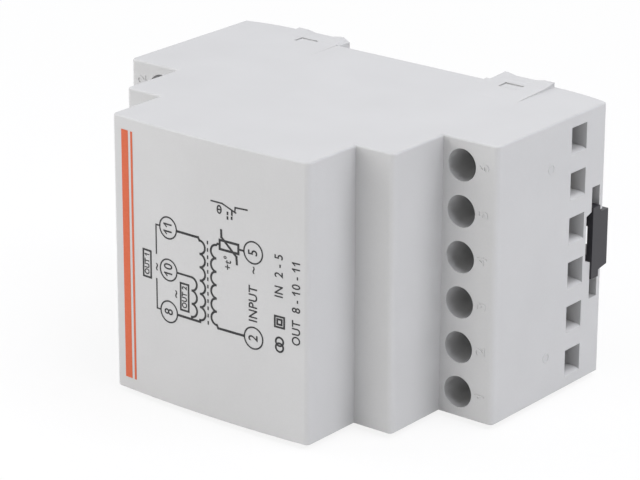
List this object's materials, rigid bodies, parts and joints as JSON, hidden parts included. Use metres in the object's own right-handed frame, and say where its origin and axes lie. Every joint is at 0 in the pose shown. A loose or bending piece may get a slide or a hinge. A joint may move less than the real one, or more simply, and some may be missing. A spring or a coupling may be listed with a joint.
{
  "type": "din rail transformer",
  "caption": "Stepped grey plastic box holding a small mains transformer, with screw terminals along both sides and a sliding clip that fixes it to a mounting rail.",
  "frame": {"origin": "centre of the rear face that sits on the mounting rail", "axes": "+X from the plain terminal face towards the terminal face with the clip, +Y out of the rear towards the rail, +Z along the rail, upwards as the part stands on its side wall"},
  "size_m": [0.0853, 0.0637, 0.0542],
  "materials": {
    "case_plastic": "matte",
    "clip_plastic": "satin",
    "core_steel": "matte",
    "bobbin_plastic": "matte",
    "copper_wire": "satin",
    "tape": "gloss",
    "contact_brass": "satin",
    "plated_steel": "satin",
    "thermistor_coat": "satin",
    "lead_sleeve": "satin",
    "print_black": "satin",
    "print_orange": "satin"
  },
  "bodies": {
    "case": {"housing_shell": "case_plastic", "rear_base": "case_plastic", "core_e_stack": "core_steel", "core_i_stack": "core_steel", "coil_bobbin": "bobbin_plastic", "bobbin_pins": "plated_steel", "primary_winding": "copper_wire", "insulation_tape": "tape", "secondary_low": "copper_wire", "secondary_high": "copper_wire", "outer_tape": "tape", "ptc_thermistor": "thermistor_coat", "lead_2": "lead_sleeve", "lead_8": "lead_sleeve", "lead_10": "lead_sleeve", "lead_11": "lead_sleeve", "contact_2": "contact_brass", "contact_5": "contact_brass", "contact_8": "contact_brass", "contact_10": "contact_brass", "contact_11": "contact_brass"},
    "clip": {"rail_clip": "clip_plastic"},
    "screw_2": {"screw_2": "plated_steel"},
    "cage_2": {"cage_2": "plated_steel"},
    "screw_5": {"screw_5": "plated_steel"},
    "cage_5": {"cage_5": "plated_steel"},
    "screw_8": {"screw_8": "plated_steel"},
    "cage_8": {"cage_8": "plated_steel"},
    "screw_10": {"screw_10": "plated_steel"},
    "cage_10": {"cage_10": "plated_steel"},
    "screw_11": {"screw_11": "plated_steel"},
    "cage_11": {"cage_11": "plated_steel"}
  },
  "joints": [
    {"name": "clip_slide", "type": "slide", "parent": "case", "child": "clip", "axis": [1, 0, 0], "range_m": [0, 0.004]},
    {"name": "screw_2_turn", "type": "hinge", "parent": "case", "child": "screw_2", "pos_m": [0.0349, -0.015, -0.01287], "axis": [0, 1, 0], "range_deg": [0, 2058]},
    {"name": "cage_2_rise", "type": "slide", "parent": "case", "child": "cage_2", "axis": [0, -1, 0], "range_m": [0, 0.004]},
    {"name": "screw_5_turn", "type": "hinge", "parent": "case", "child": "screw_5", "pos_m": [0.0349, -0.015, 0.01287], "axis": [0, 1, 0], "range_deg": [0, 2058]},
    {"name": "cage_5_rise", "type": "slide", "parent": "case", "child": "cage_5", "axis": [0, -1, 0], "range_m": [0, 0.004]},
    {"name": "screw_8_turn", "type": "hinge", "parent": "case", "child": "screw_8", "pos_m": [-0.0349, -0.015, -0.01287], "axis": [0, 1, 0], "range_deg": [0, 2058]},
    {"name": "cage_8_rise", "type": "slide", "parent": "case", "child": "cage_8", "axis": [0, -1, 0], "range_m": [0, 0.004]},
    {"name": "screw_10_turn", "type": "hinge", "parent": "case", "child": "screw_10", "pos_m": [-0.0349, -0.015, 0.00429], "axis": [0, 1, 0], "range_deg": [0, 2058]},
    {"name": "cage_10_rise", "type": "slide", "parent": "case", "child": "cage_10", "axis": [0, -1, 0], "range_m": [0, 0.004]},
    {"name": "screw_11_turn", "type": "hinge", "parent": "case", "child": "screw_11", "pos_m": [-0.0349, -0.015, 0.01287], "axis": [0, 1, 0], "range_deg": [0, 2058]},
    {"name": "cage_11_rise", "type": "slide", "parent": "case", "child": "cage_11", "axis": [0, -1, 0], "range_m": [0, 0.004]}
  ],
  "couplings": [
    {"joint": "screw_2_turn", "follows": "cage_2_rise", "rad_per_m": 8976},
    {"joint": "screw_5_turn", "follows": "cage_5_rise", "rad_per_m": 8976},
    {"joint": "screw_8_turn", "follows": "cage_8_rise", "rad_per_m": 8976},
    {"joint": "screw_10_turn", "follows": "cage_10_rise", "rad_per_m": 8976},
    {"joint": "screw_11_turn", "follows": "cage_11_rise", "rad_per_m": 8976}
  ]
}
